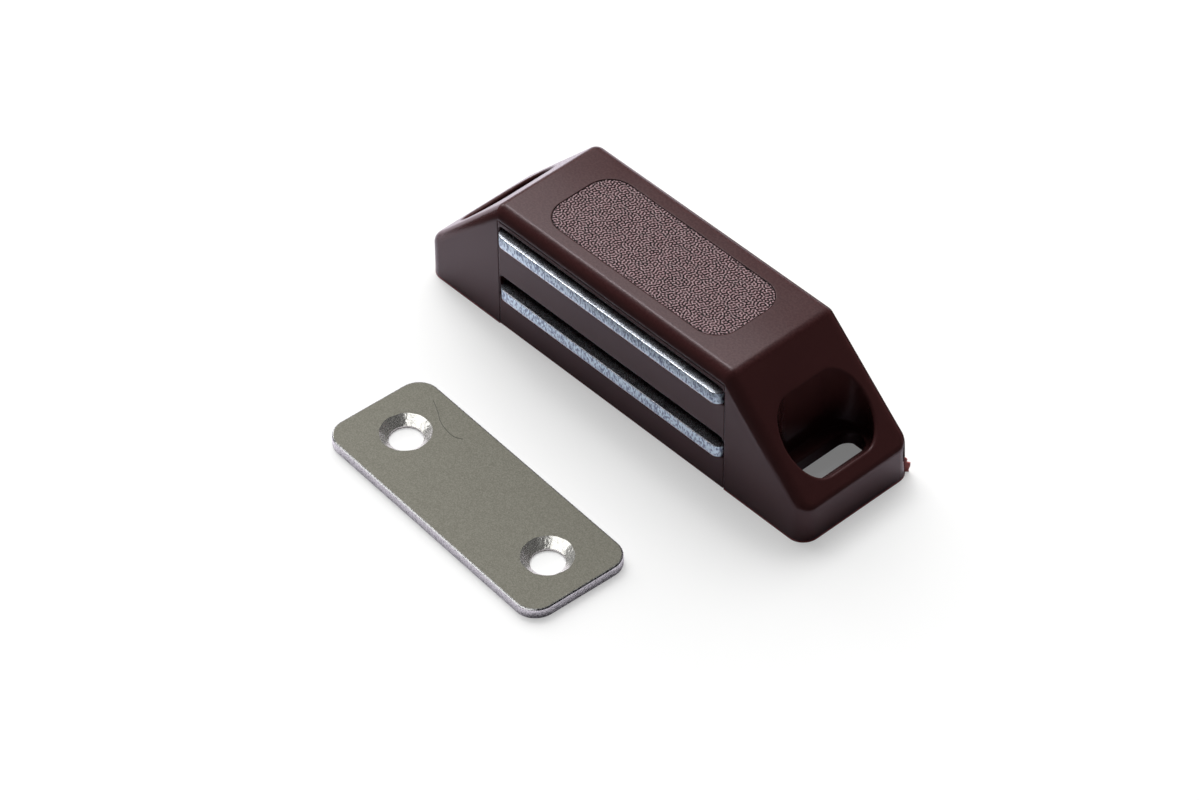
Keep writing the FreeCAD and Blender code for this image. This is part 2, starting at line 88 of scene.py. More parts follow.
# %% [markdown]
# Node trees are easier to read when one call adds a node, sets its options and joins its
# inputs: a socket is linked, and anything else becomes the input's own value. The short calls
# after it are for the nodes that every material needs. The last two open and place a node group,
# which is a finish effect that several materials share.

# %% Helpers for shader nodes
def set_inputs(tree, item, inputs):
    for name, value in inputs.items():
        if isinstance(value, bpy.types.NodeSocket):
            tree.links.new(value, item.inputs[name])
        else:
            item.inputs[name].default_value = value


def add_node(tree, kind, inputs=None, **options):
    item = tree.nodes.new(kind)
    for name, value in options.items():
        setattr(item, name, value)
    set_inputs(tree, item, inputs or {})
    return item


def maths(tree, operation, first, second=0.0, clamp=False):
    item = add_node(tree, "ShaderNodeMath", {0: first, 1: second}, operation=operation)
    item.use_clamp = clamp
    return item.outputs[0]


def remap(tree, value, low, high, new_low=0.0, new_high=1.0, smooth=False):
    item = add_node(tree, "ShaderNodeMapRange",
                    {"Value": value, 1: low, 2: high, 3: new_low, 4: new_high},
                    interpolation_type="SMOOTHSTEP" if smooth else "LINEAR")
    return item.outputs[0]


def mix_values(tree, share, first, second):
    return add_node(tree, "ShaderNodeMix", {0: share, 2: first, 3: second},
                    data_type="FLOAT").outputs[0]


def new_group(name, inputs, outputs):
    """A node group with named float or vector sockets. Its tree, its inputs, its end node."""
    group = bpy.data.node_groups.new(name, "ShaderNodeTree")
    for title, value in inputs.items():
        kind = "NodeSocketVector" if value is None else "NodeSocketFloat"
        socket = group.interface.new_socket(title, in_out="INPUT", socket_type=kind)
        if value is not None:
            socket.default_value = value
    for title in outputs:
        group.interface.new_socket(title, in_out="OUTPUT", socket_type="NodeSocketFloat")
    start = group.nodes.new("NodeGroupInput")
    end = group.nodes.new("NodeGroupOutput")
    print("node group", name, "with", ", ".join(inputs))
    return group, start.outputs, end


def use_group(tree, group, inputs):
    item = add_node(tree, "ShaderNodeGroup", node_tree=group)
    set_inputs(tree, item, inputs)
    return item.outputs[0]


# %% [markdown]
# The stage is a sheet of paper. To the camera it is white, with a little glow of its own,
# because lit paper never renders quite white, and it still takes the object's shadow. Beneath
# the housing its glow is turned down, which paints shade there, so that the screw slots show
# grey paper, as in the photograph. Matt surfaces get light from below as from grey paper.
# Glossy ones mirror a pale sheet near the object and black cards further off, which keep dark
# plastic dark.

# %% Floor
SHEET_SIZE = 3.0
SHEET_DROP = 0.02 * MM
SHEET_WHITE = (0.95, 0.95, 0.945, 1.0)
SHEET_GREY = (0.56, 0.56, 0.56, 1.0)
SHEET_MIRRORED = (0.86, 0.81, 0.90, 1.0)
GLOW_SEEN = 0.43
# Beneath the housing the glow is less by this share, which paints shade there
COVERED_LENGTH = 28.0 * MM
COVERED_WIDTH = 7.0 * MM
SHADE_PAINTED_BENEATH = 0.60
# A card begins beyond a line, and in front and on the right only at a distance from the object
CARD_FRONT = -8.0 * MM
CARD_FRONT_AWAY = 21.0 * MM
CARD_RIGHT = 29.0 * MM
CARD_RIGHT_AWAY = 9.0 * MM
CARD_BACK = 9.0 * MM
CARD_LEFT = -27.0 * MM
CARD_FADE = 6.0 * MM
CARD_BLACK = (0.020, 0.020, 0.022, 1.0)


def covered_by_housing(tree, place):
    """1 beneath the housing, where shade is painted on the floor, 0 elsewhere."""
    inside = []
    for axis, reach in (("X", COVERED_LENGTH), ("Y", COVERED_WIDTH)):
        away = maths(tree, "ABSOLUTE", place[axis])
        inside.append(maths(tree, "LESS_THAN", away, reach))
    return maths(tree, "MULTIPLY", *inside)


def covered_by_card(tree, place, length):
    """1 where a ray of this length meets a black card, 0 where it meets the paper."""
    in_front = maths(tree, "LESS_THAN", place["Y"], CARD_FRONT)
    away = remap(tree, length, CARD_FRONT_AWAY, CARD_FRONT_AWAY + CARD_FADE, smooth=True)
    in_front = maths(tree, "MULTIPLY", in_front, away)
    at_right = maths(tree, "GREATER_THAN", place["X"], CARD_RIGHT)
    away = remap(tree, length, CARD_RIGHT_AWAY, CARD_RIGHT_AWAY + CARD_FADE, smooth=True)
    at_right = maths(tree, "MULTIPLY", at_right, away)
    behind = maths(tree, "MULTIPLY", maths(tree, "GREATER_THAN", place["Y"], CARD_BACK),
                   maths(tree, "LESS_THAN", place["X"], CARD_RIGHT))
    behind = maths(tree, "MULTIPLY", behind, maths(tree, "GREATER_THAN", place["X"], CARD_LEFT))
    return maths(tree, "MAXIMUM", maths(tree, "MAXIMUM", in_front, at_right), behind)


def add_floor():
    bpy.ops.mesh.primitive_plane_add(size=SHEET_SIZE, location=(0, 0, -SHEET_DROP))
    sheet = bpy.context.object
    sheet.name = "white_sheet"
    material = bpy.data.materials.new("sheet_paint")
    material.use_nodes = True
    tree = material.node_tree
    tree.nodes.clear()
    ray = add_node(tree, "ShaderNodeLightPath").outputs
    colour = add_node(tree, "ShaderNodeMix", {0: ray["Is Glossy Ray"], 6: SHEET_GREY,
                                              7: SHEET_MIRRORED}, data_type="RGBA").outputs[2]
    colour = add_node(tree, "ShaderNodeMix", {0: ray["Is Camera Ray"], 6: colour,
                                              7: SHEET_WHITE}, data_type="RGBA").outputs[2]
    paint = add_node(tree, "ShaderNodeBsdfDiffuse", {"Color": colour})
    glow = add_node(tree, "ShaderNodeEmission", {"Color": (1, 1, 1, 1), "Strength": 1.0})
    place = add_node(tree, "ShaderNodeTexCoord").outputs["Object"]
    place = add_node(tree, "ShaderNodeSeparateXYZ", {0: place}).outputs
    # Beneath the housing the camera sees less glow: painted shade
    share = remap(tree, covered_by_housing(tree, place), 0.0, 1.0,
                  GLOW_SEEN, GLOW_SEEN * (1 - SHADE_PAINTED_BENEATH))
    seen = maths(tree, "MULTIPLY", ray["Is Camera Ray"], share)
    mixed = add_node(tree, "ShaderNodeMixShader", {0: seen, 1: paint.outputs[0],
                                                   2: glow.outputs[0]})
    card = add_node(tree, "ShaderNodeBsdfDiffuse", {"Color": CARD_BLACK})
    on_card = maths(tree, "MULTIPLY", covered_by_card(tree, place, ray["Ray Length"]),
                    ray["Is Glossy Ray"])
    laid = add_node(tree, "ShaderNodeMixShader", {0: on_card, 1: mixed.outputs[0],
                                                  2: card.outputs[0]})
    add_node(tree, "ShaderNodeOutputMaterial", {"Surface": laid.outputs[0]})
    sheet.data.materials.append(material)
    return sheet


print("floor:", add_floor().name)

# %% [markdown]
# The room's light is written on the world. Matt surfaces gather it from a wide lobe round one
# direction, high on the left and behind the catch. Glossy ones mirror the same lobe, but much
# darker, because what a glossy surface should mirror are the lamps. The camera sees white.

# %% Room light
LOBE = (-0.64, 0.46, 0.61)
LOBE_EDGE = 0.56
LOBE_FULL = 0.95
LOBE_LEVEL = 3.30
ROOM_LEVEL = 0.03
MIRRORED_EDGE = 0.45
MIRRORED_FULL = 0.98
MIRRORED_DARK = 0.015
MIRRORED_LEVEL = 0.30
SEEN_LEVEL = 1.0


def light_the_room():
    world = bpy.data.worlds.new("studio")
    bpy.context.scene.world = world
    world.use_nodes = True
    tree = world.node_tree
    tree.nodes.clear()
    ray = add_node(tree, "ShaderNodeLightPath").outputs
    direction = add_node(tree, "ShaderNodeTexCoord").outputs["Generated"]
    towards = add_node(tree, "ShaderNodeVectorMath", {0: direction, 1: LOBE},
                       operation="DOT_PRODUCT").outputs["Value"]
    gathered = remap(tree, towards, LOBE_EDGE, LOBE_FULL, ROOM_LEVEL, LOBE_LEVEL, smooth=True)
    mirrored = remap(tree, towards, MIRRORED_EDGE, MIRRORED_FULL, MIRRORED_DARK, MIRRORED_LEVEL,
                     smooth=True)
    level = mix_values(tree, ray["Is Glossy Ray"], gathered, mirrored)
    level = mix_values(tree, ray["Is Camera Ray"], level, SEEN_LEVEL)
    sky = add_node(tree, "ShaderNodeBackground", {"Color": (1, 1, 1, 1), "Strength": level})
    add_node(tree, "ShaderNodeOutputWorld", {"Surface": sky.outputs[0]})
    return world


print("world:", light_the_room().name)

# %% [markdown]
# Dark glossy plastic is drawn by what it mirrors. The flat top mirrors the rear edge of a soft
# box high on the left, so its rear border, which falls off a little, mirrors the dark behind it.
# A bare bulb in front of that box and a strip lamp lower down draw the fine bright lines on
# edges and metal. The front mirrors the sheet, and the right slope a dark corner of the room.

# %% Lamps
# Name, direction from the object, distance, depth, length, radiance
SOFT_BOXES = [
    ("soft_box_left", (-0.560, 0.240, 0.793), 0.80, 0.46, 0.66, 1.45),
    ("bare_bulb", (-0.541, 0.200, 0.817), 0.78, 0.10, 0.20, 7.0),
    ("strip_lamp_left", (-0.90, 0.11, 0.40), 0.90, 0.10, 0.30, 5.0),
]
# An area lamp of one watt and one square metre has a quarter of this radiance
WATTS_FOR_RADIANCE = 4.0


def add_lamp(name, direction, distance, depth, length, radiance):
    """A soft box that looks at the object, its depth along the object's own depth."""
    back = Vector(direction).normalized()
    across = (Vector((0, 1, 0)) - back * back.y).normalized()
    turn = Matrix((across, back.cross(across), back)).transposed()
    bpy.ops.object.light_add(type="AREA", location=back * distance, rotation=turn.to_euler())
    lamp = bpy.context.object
    lamp.name = name
    lamp.data.shape = "RECTANGLE"
    lamp.data.size = depth
    lamp.data.size_y = length
    lamp.data.energy = radiance * WATTS_FOR_RADIANCE * depth * length
    return lamp


for box in SOFT_BOXES:
    print("lamp:", add_lamp(*box).name)

bpy.context.scene.view_settings.view_transform = "Standard"

# %% [markdown]
# Wear and grain are the same kind of thing on plastic and on steel, only finer or coarser, so
# each effect is one node group with named inputs. All patterns are laid out in millimetres
# from the object's own coordinates, so a size in a material is a real size.

# %% Effects that several materials share
FIELD_SCALE = 0.5
HAIR_DRIFT = 0.12
HAIR_FADE = 0.06
EDGE_FROM = 0.02


def make_hairlines():
    """Fine long scratches in one direction: 1 on a scratch, 0 beside it."""
    group, given, end = new_group("hairlines", {"Position": None, "Turn": 0.0, "Length": 3.0,
                                                "Width": 0.05, "Sparse": 0.7}, ["Mask"])
    bend = add_node(group, "ShaderNodeTexNoise",
                    {"Vector": given["Position"], "Scale": FIELD_SCALE, "Detail": 0.0})
    turned = add_node(group, "ShaderNodeVectorRotate",
                      {"Vector": given["Position"], "Angle": given["Turn"]},
                      rotation_type="Z_AXIS").outputs[0]
    parts = add_node(group, "ShaderNodeSeparateXYZ", {0: turned}).outputs
    drift = maths(group, "MULTIPLY", bend.outputs[0], HAIR_DRIFT)
    rising = maths(group, "ADD", parts["Y"], parts["Z"])
    across = maths(group, "DIVIDE", maths(group, "ADD", rising, drift), given["Width"])
    along = maths(group, "DIVIDE", parts["X"], given["Length"])
    lines = add_node(group, "ShaderNodeCombineXYZ", {"X": along, "Y": across})
    field = add_node(group, "ShaderNodeTexNoise",
                     {"Vector": lines.outputs[0], "Scale": FIELD_SCALE, "Detail": 0.0}).outputs[0]
    high = maths(group, "ADD", given["Sparse"], HAIR_FADE)
    mask = add_node(group, "ShaderNodeMapRange", {"Value": field, 1: given["Sparse"], 2: high})
    group.links.new(mask.outputs[0], end.inputs["Mask"])
    return group


def make_drift():
    """A slow change over the surface, from 0 to 1."""
    group, given, end = new_group("slow_drift", {"Position": None, "Size": 8.0, "Contrast": 2.0},
                                  ["Value"])
    scale = maths(group, "DIVIDE", 1.0, given["Size"])
    field = add_node(group, "ShaderNodeTexNoise",
                     {"Vector": given["Position"], "Scale": scale, "Detail": 1.0}).outputs[0]
    centred = maths(group, "SUBTRACT", field, 0.5)
    spread = maths(group, "MULTIPLY", centred, given["Contrast"])
    group.links.new(maths(group, "ADD", spread, 0.5, clamp=True), end.inputs["Value"])
    return group


def make_grains():
    """Grains of a given size: a height from 0 to 1."""
    group, given, end = new_group("grains", {"Position": None, "Size": 0.3, "Roundness": 0.5},
                                  ["Height"])
    scale = maths(group, "DIVIDE", 1.0, given["Size"])
    soft = add_node(group, "ShaderNodeTexNoise",
                    {"Vector": given["Position"], "Scale": scale, "Detail": 1.0}).outputs[0]
    cells = add_node(group, "ShaderNodeTexVoronoi",
                     {"Vector": given["Position"], "Scale": scale}).outputs["Distance"]
    mixed = mix_values(group, given["Roundness"], cells, soft)
    group.links.new(mixed, end.inputs["Height"])
    return group


def make_worn_edges():
    """1 on sharp edges and 0 on flat stretches, by comparing the normal with a rounded one."""
    group, given, end = new_group("worn_edges", {"Reach": 0.0002, "Bite": 0.25}, ["Mask"])
    rounded = add_node(group, "ShaderNodeBevel", {"Radius": given["Reach"]}, samples=6)
    straight = add_node(group, "ShaderNodeNewGeometry").outputs["Normal"]
    same = add_node(group, "ShaderNodeVectorMath", {0: rounded.outputs[0], 1: straight},
                    operation="DOT_PRODUCT").outputs["Value"]
    turned = maths(group, "SUBTRACT", 1.0, same)
    mask = add_node(group, "ShaderNodeMapRange", {"Value": turned, 1: EDGE_FROM, 2: given["Bite"]})
    group.links.new(mask.outputs[0], end.inputs["Mask"])
    return group


HAIRLINES = make_hairlines()
DRIFT = make_drift()
GRAINS = make_grains()
WORN_EDGES = make_worn_edges()


def start_material(name):
    """A material with its Principled shader, and the surface's place in millimetres."""
    material = bpy.data.materials.new(name)
    material.use_nodes = True
    tree = material.node_tree
    tree.nodes.clear()
    shader = add_node(tree, "ShaderNodeBsdfPrincipled")
    add_node(tree, "ShaderNodeOutputMaterial", {"Surface": shader.outputs[0]})
    place = add_node(tree, "ShaderNodeTexCoord").outputs["Object"]
    scaled = add_node(tree, "ShaderNodeMapping", {"Vector": place, "Scale": (1 / MM,) * 3})
    print("material", name)
    return material, tree, shader, scaled.outputs[0]


def blend_colours(tree, share, first, second):
    return add_node(tree, "ShaderNodeMix", {0: share, 6: first, 7: second},
                    data_type="RGBA").outputs[2]


def add_bump(tree, height, depth, below=None):
    """A bump of a real depth in metres, on top of another one."""
    inputs = {"Height": height, "Distance": depth, "Strength": 1.0}
    if below is not None:
        inputs["Normal"] = below
    return add_node(tree, "ShaderNodeBump", inputs).outputs[0]


# %% [markdown]
# The housing is moulded plastic, chocolate brown with a red tone. It isn't flat: walls sink a
# little where the plastic is thick, so reflections wander, and the top is crowned by a hair.
# Handling leaves fine hairlines and a dark mottling, mostly on the top. The sloped ends kept the
# mould's polish. Where the base's edge is thin, light would shine through it, and that glow is
# painted on as a red tint along the foot.

# %% Brown plastic: its colour
BROWN = (0.056, 0.0190, 0.0195, 1.0)
BROWN_WARM = (0.069, 0.0235, 0.0235, 1.0)
PAINTED_RED_GLOW = (0.620, 0.160, 0.150, 1.0)
PAINTED_GLOW_SHARE = 0.9
GRIME = (0.028, 0.0060, 0.0070, 1.0)
GRIME_FIELD = (0.38, 0.62)
GRIME_SHARE = 0.45
EDGE_TINT = (0.120, 0.050, 0.050, 1.0)
EDGE_SHARE = 0.20
# Heights in millimetres: where the painted red glow of the foot ends, and where the top
# begins and is reached
PAINTED_GLOW_HEIGHT = 0.30
TOP_LEVELS = (15.5, 16.0)


def plastic_colour(tree, place, height):
    tone = use_group(tree, DRIFT, {"Position": place, "Size": 9.0, "Contrast": 1.4})
    colour = blend_colours(tree, tone, BROWN, BROWN_WARM)
    # Towards the base the colour turns red: a painted glow of light through thin plastic
    thin = remap(tree, height, 0.0, PAINTED_GLOW_HEIGHT, PAINTED_GLOW_SHARE, 0.0)
    colour = blend_colours(tree, thin, colour, PAINTED_RED_GLOW)
    grime = use_group(tree, GRAINS, {"Position": place, "Size": 0.26, "Roundness": 1.0})
    grime = maths(tree, "MULTIPLY", remap(tree, grime, *GRIME_FIELD, 0.0, GRIME_SHARE),
                  remap(tree, height, *TOP_LEVELS))
    colour = blend_colours(tree, grime, colour, GRIME)
    edges = use_group(tree, WORN_EDGES, {"Reach": 0.16 * MM, "Bite": 0.22})
    return blend_colours(tree, maths(tree, "MULTIPLY", edges, EDGE_SHARE), colour, EDGE_TINT)


# %% Brown plastic: its polish and its relief
PLASTIC_IOR = 1.52
PLASTIC_GLOSS = 0.33
GLOSS_TINT = (1.0, 0.88, 0.92, 1.0)
HANDLED_LEVELS = (15.0, 15.9)
HANDLED_LITTLE = 0.12
# A wider range than this would show as rings on the smooth walls
ROUGHNESS_RANGE = (0.21, 0.265)
SLOPE_FACING = (0.50, 0.68)
SLOPE_ROUGHNESS = 0.13
SCRATCH_ROUGHNESS = 0.005
CROWN = 0.0045
SINK_DEPTH = 0.020 * MM
PEEL_DEPTH = 0.0100 * MM
SCRATCH_DEPTH = 0.0016 * MM
EDGE_RADIUS = 0.18 * MM


def plastic_scratches(tree, place, height):
    fine = use_group(tree, HAIRLINES, {"Position": place, "Turn": 0.25, "Length": 1.8,
                                       "Width": 0.06, "Sparse": 0.72})
    crossed = use_group(tree, HAIRLINES, {"Position": place, "Turn": 0.95, "Length": 1.2,
                                          "Width": 0.05, "Sparse": 0.74})
    return maths(tree, "MULTIPLY", maths(tree, "MAXIMUM", fine, crossed),
                 remap(tree, height, *HANDLED_LEVELS, HANDLED_LITTLE, 1.0))


def plastic_roughness(tree, place, scratched):
    polish = use_group(tree, DRIFT, {"Position": place, "Size": 4.0, "Contrast": 1.3})
    roughness = remap(tree, polish, 0.0, 1.0, *ROUGHNESS_RANGE)
    facing = add_node(tree, "ShaderNodeNewGeometry").outputs["Normal"]
    facing = add_node(tree, "ShaderNodeSeparateXYZ", {0: facing}).outputs["X"]
    on_slope = remap(tree, maths(tree, "ABSOLUTE", facing), *SLOPE_FACING)
    roughness = mix_values(tree, on_slope, roughness, SLOPE_ROUGHNESS)
    return maths(tree, "ADD", roughness, maths(tree, "MULTIPLY", scratched, SCRATCH_ROUGHNESS))


def plastic_normal(tree, place, across, scratched):
    sink = use_group(tree, DRIFT, {"Position": place, "Size": 7.0, "Contrast": 1.0})
    peel = use_group(tree, GRAINS, {"Position": place, "Size": 0.22, "Roundness": 1.0})
    crown = maths(tree, "MULTIPLY", maths(tree, "MULTIPLY", across, across), -CROWN)
    rounded = add_node(tree, "ShaderNodeBevel", {"Radius": EDGE_RADIUS}, samples=6)
    normal = add_bump(tree, crown, 1.0 * MM, rounded.outputs[0])
    normal = add_bump(tree, sink, SINK_DEPTH, normal)
    normal = add_bump(tree, peel, PEEL_DEPTH, normal)
    return add_bump(tree, maths(tree, "SUBTRACT", 1.0, scratched), SCRATCH_DEPTH, normal)


def make_brown_plastic():
    material, tree, shader, place = start_material("brown_plastic")
    parts = add_node(tree, "ShaderNodeSeparateXYZ", {0: place}).outputs
    scratched = plastic_scratches(tree, place, parts["Z"])
    set_inputs(tree, shader, {
        "Base Color": plastic_colour(tree, place, parts["Z"]),
        "Roughness": plastic_roughness(tree, place, scratched),
        "Normal": plastic_normal(tree, place, parts["Y"], scratched),
        "IOR": PLASTIC_IOR, "Specular IOR Level": PLASTIC_GLOSS, "Specular Tint": GLOSS_TINT})
    return material


# %% [markdown]
# The panel in the top is spark-eroded in the mould: small worm-like grains, about a third of a
# millimetre apart. The grains themselves are modelled further down. The finish goes by their
# height: matt grooves painted dark as shade, and crests painted pale as highlights, with a thin
# polish, which is a coat over the plastic. A finer tooth lies over both.

# %% Grained plastic
GROOVE_PAINTED_SHADE = (0.004, 0.0014, 0.0016, 1.0)
CREST_PAINTED_HIGHLIGHT = (0.360, 0.2000, 0.2200, 1.0)
GRAINED_ROUGHNESS = (0.80, 0.45)
GRAIN_GLOSS = 0.15
GRAIN_POLISH = 0.22
TOOTH_DEPTH = 0.006 * MM


def make_grained_plastic(groove_level, crest_level):
    material, tree, shader, place = start_material("grained_plastic")
    height = add_node(tree, "ShaderNodeSeparateXYZ", {0: place}).outputs["Z"]
    crest = remap(tree, height, groove_level / MM, crest_level / MM, smooth=True)
    # By height: painted shade in the grooves, a painted highlight on the crests
    colour = blend_colours(tree, crest, GROOVE_PAINTED_SHADE, CREST_PAINTED_HIGHLIGHT)
    tooth = use_group(tree, GRAINS, {"Position": place, "Size": 0.11, "Roundness": 0.7})
    set_inputs(tree, shader, {
        "Base Color": colour, "Roughness": remap(tree, crest, 0.0, 1.0, *GRAINED_ROUGHNESS),
        "Normal": add_bump(tree, tooth, TOOTH_DEPTH), "IOR": PLASTIC_IOR,
        "Specular IOR Level": GRAIN_GLOSS, "Coat Weight": crest, "Coat Roughness": GRAIN_POLISH})
    return material


# %% [markdown]
# The pole plates are cut from bright zinc-plated strip. The rolled faces are nearly mirrors
# with fine lines along the strip. The cut edge is another surface altogether: torn steel under
# the plating, rough and bluish, in small upright facets. Its rim and its lip are rubbed bright
# by the die, so a plate has three finishes.

# %% Plated steel
ZINC = (0.50, 0.53, 0.58, 1.0)
ZINC_DARK = (0.30, 0.32, 0.36, 1.0)
ZINC_ROUGHNESS = (0.16, 0.40)
SPECK_DEPTH = 0.006 * MM
ROLL_LINE_DEPTH = 0.002 * MM


def make_plated_steel():
    material, tree, shader, place = start_material("plated_steel")
    specks = use_group(tree, GRAINS, {"Position": place, "Size": 0.10, "Roundness": 0.4})
    stain = use_group(tree, DRIFT, {"Position": place, "Size": 1.6, "Contrast": 3.0})
    lines = use_group(tree, HAIRLINES, {"Position": place, "Turn": 0.0, "Length": 6.0,
                                        "Width": 0.05, "Sparse": 0.60})
    normal = add_bump(tree, specks, SPECK_DEPTH)
    normal = add_bump(tree, maths(tree, "SUBTRACT", 1.0, lines), ROLL_LINE_DEPTH, normal)
    set_inputs(tree, shader, {
        "Base Color": blend_colours(tree, stain, ZINC_DARK, ZINC),
        "Roughness": remap(tree, specks, 0.2, 0.8, *ZINC_ROUGHNESS),
        "Normal": normal, "Metallic": 1.0})
    return material


# %% Cut and burnished steel
CUT_STEEL = (0.76, 0.92, 1.00, 1.0)
CUT_STEEL_DARK = (0.28, 0.36, 0.48, 1.0)
BRIGHT_EDGE = (0.94, 0.95, 0.97, 1.0)
CUT_ROUGHNESS = (0.30, 0.46)
BURNISHED_ROUGHNESS = (0.34, 0.22)
# Upwards the pattern is drawn out, so that its facets stand upright
UPRIGHT = (1.0, 1.0, 0.45)
FACET_DEPTH = 0.026 * MM


def make_cut_steel():
    material, tree, shader, place = start_material("cut_steel")
    tall = add_node(tree, "ShaderNodeMapping", {"Vector": place, "Scale": UPRIGHT})
    facets = use_group(tree, GRAINS, {"Position": tall.outputs[0], "Size": 0.17,
                                      "Roundness": 0.25})
    # Light and dark specks in the colour are painted glints and shade among the facets
    glint_speckle = use_group(tree, GRAINS, {"Position": tall.outputs[0], "Size": 0.19,
                                       "Roundness": 1.0})
    colour = blend_colours(tree, remap(tree, glint_speckle, 0.36, 0.54), CUT_STEEL_DARK, CUT_STEEL)
    # Bright colour on the edges is die rubbing and also a painted highlight line
    edges = use_group(tree, WORN_EDGES, {"Reach": 0.12 * MM, "Bite": 0.12})
    set_inputs(tree, shader, {
        "Base Color": blend_colours(tree, edges, colour, BRIGHT_EDGE),
        "Roughness": remap(tree, facets, 0.2, 0.8, *CUT_ROUGHNESS),
        "Normal": add_bump(tree, facets, FACET_DEPTH), "Metallic": 1.0})
    return material


def make_burnished_steel():
    """The edges that the die has rubbed bright, a little notched."""
    material, tree, shader, place = start_material("burnished_steel")
    notches = use_group(tree, GRAINS, {"Position": place, "Size": 0.16, "Roundness": 1.0})
    colour = blend_colours(tree, remap(tree, notches, 0.34, 0.50), CUT_STEEL_DARK, BRIGHT_EDGE)
    set_inputs(tree, shader, {
        "Base Color": colour, "Metallic": 1.0,
        "Roughness": remap(tree, notches, 0.3, 0.7, *BURNISHED_ROUGHNESS)})
    return material


# %% [markdown]
# The counter plate is nickel-plated over blasted steel, a warm satin grey. Its screw seats were
# cut before plating by a tool that chattered, so they are bright and banded. Its sides shine
# where the die burnished them, and are duller in streaks.

# %% Satin nickel
SATIN = (0.140, 0.135, 0.112, 1.0)
SATIN_PALE = (0.182, 0.177, 0.150, 1.0)
SATIN_ROUGHNESS = (0.44, 0.58)
BLAST_DEPTH = 0.010 * MM
SCRAPE_DEPTH = 0.002 * MM


def make_satin_nickel():
    material, tree, shader, place = start_material("satin_nickel")
    cloud = use_group(tree, GRAINS, {"Position": place, "Size": 0.13, "Roundness": 1.0})
    cloud = remap(tree, cloud, 0.35, 0.65)
    blasted = use_group(tree, GRAINS, {"Position": place, "Size": 0.16, "Roundness": 0.8})
    lines = use_group(tree, HAIRLINES, {"Position": place, "Turn": 0.9, "Length": 4.0,
                                        "Width": 0.06, "Sparse": 0.69})
    normal = add_bump(tree, blasted, BLAST_DEPTH)
    normal = add_bump(tree, maths(tree, "SUBTRACT", 1.0, lines), SCRAPE_DEPTH, normal)
    set_inputs(tree, shader, {
        "Base Color": blend_colours(tree, cloud, SATIN, SATIN_PALE),
        "Roughness": remap(tree, blasted, 0.2, 0.8, *SATIN_ROUGHNESS),
        "Normal": normal, "Metallic": 1.0})
    return material


# %% Bright and sheared nickel
BRIGHT_NICKEL = (0.74, 0.73, 0.69, 1.0)
BRIGHT_METALLIC = 0.78
BRIGHT_ROUGHNESS = (0.18, 0.36)
DENT_DEPTH = 0.055 * MM
SHEARED_NICKEL = (0.70, 0.70, 0.70, 1.0)
SHEARED_DARK = (0.42, 0.42, 0.43, 1.0)
SHEARED_ROUGHNESS = (0.22, 0.34)
STREAK_DEPTH = 0.012 * MM


def make_bright_nickel():
    material, tree, shader, place = start_material("bright_nickel")
    dents = use_group(tree, GRAINS, {"Position": place, "Size": 0.30, "Roundness": 0.6})
    set_inputs(tree, shader, {
        "Base Color": BRIGHT_NICKEL, "Metallic": BRIGHT_METALLIC,
        "Roughness": remap(tree, dents, 0.2, 0.8, *BRIGHT_ROUGHNESS),
        "Normal": add_bump(tree, dents, DENT_DEPTH)})
    return material


def make_sheared_nickel():
    """The sides of the plate and its rolled edge: bright where the die burnished them."""
    material, tree, shader, place = start_material("sheared_nickel")
    streaks = use_group(tree, GRAINS, {"Position": place, "Size": 0.20, "Roundness": 1.0})
    colour = blend_colours(tree, remap(tree, streaks, 0.30, 0.50), SHEARED_DARK, SHEARED_NICKEL)
    set_inputs(tree, shader, {
        "Base Color": colour, "Metallic": 1.0,
        "Roughness": remap(tree, streaks, 0.3, 0.7, *SHEARED_ROUGHNESS),
        "Normal": add_bump(tree, streaks, STREAK_DEPTH)})
    return material


# %% [markdown]
# The magnet is a block of sintered ferrite. It is hidden behind the front wall, and a glimpse
# of it through the slots only has to be matt charcoal.

# %% Ferrite
FERRITE = (0.030, 0.030, 0.032, 1.0)
FERRITE_DUST = (0.075, 0.073, 0.072, 1.0)
FERRITE_ROUGHNESS = (0.62, 0.85)
FERRITE_GRAIN_DEPTH = 0.02 * MM
GROUND_LINE_DEPTH = 0.008 * MM


def make_ferrite():
    """Sintered magnet: matt charcoal, with paler dust on its grains."""
    material, tree, shader, place = start_material("ferrite")
    grains = use_group(tree, GRAINS, {"Position": place, "Size": 0.22, "Roundness": 0.6})
    ground = use_group(tree, HAIRLINES, {"Position": place, "Turn": 0.1, "Length": 8.0,
                                         "Width": 0.12, "Sparse": 0.58})
    dust = remap(tree, grains, 0.5, 0.75)
    normal = add_bump(tree, grains, FERRITE_GRAIN_DEPTH)
    normal = add_bump(tree, ground, GROUND_LINE_DEPTH, normal)
    set_inputs(tree, shader, {
        "Base Color": blend_colours(tree, dust, FERRITE, FERRITE_DUST),
        "Roughness": remap(tree, dust, 0.0, 1.0, *FERRITE_ROUGHNESS), "Normal": normal})
    return material


# %% [markdown]
# Modelling happens in edit mode, as by hand: select by place, then extrude, bevel or subdivide.
# These helpers keep that short. Everything is deselected first, because an operator acts on all
# that is selected.

# %% Helpers for modelling
WELD = 0.0005 * MM


def make_active(piece):
    bpy.ops.object.select_all(action="DESELECT")
    piece.select_set(True)
    bpy.context.view_layer.objects.active = piece


def open_edit(piece, mode):
    make_active(piece)
    bpy.ops.object.mode_set(mode="EDIT")
    bpy.ops.mesh.select_mode(type=mode)
    bpy.ops.mesh.select_all(action="DESELECT")


def close_edit():
    bpy.ops.object.mode_set(mode="OBJECT")


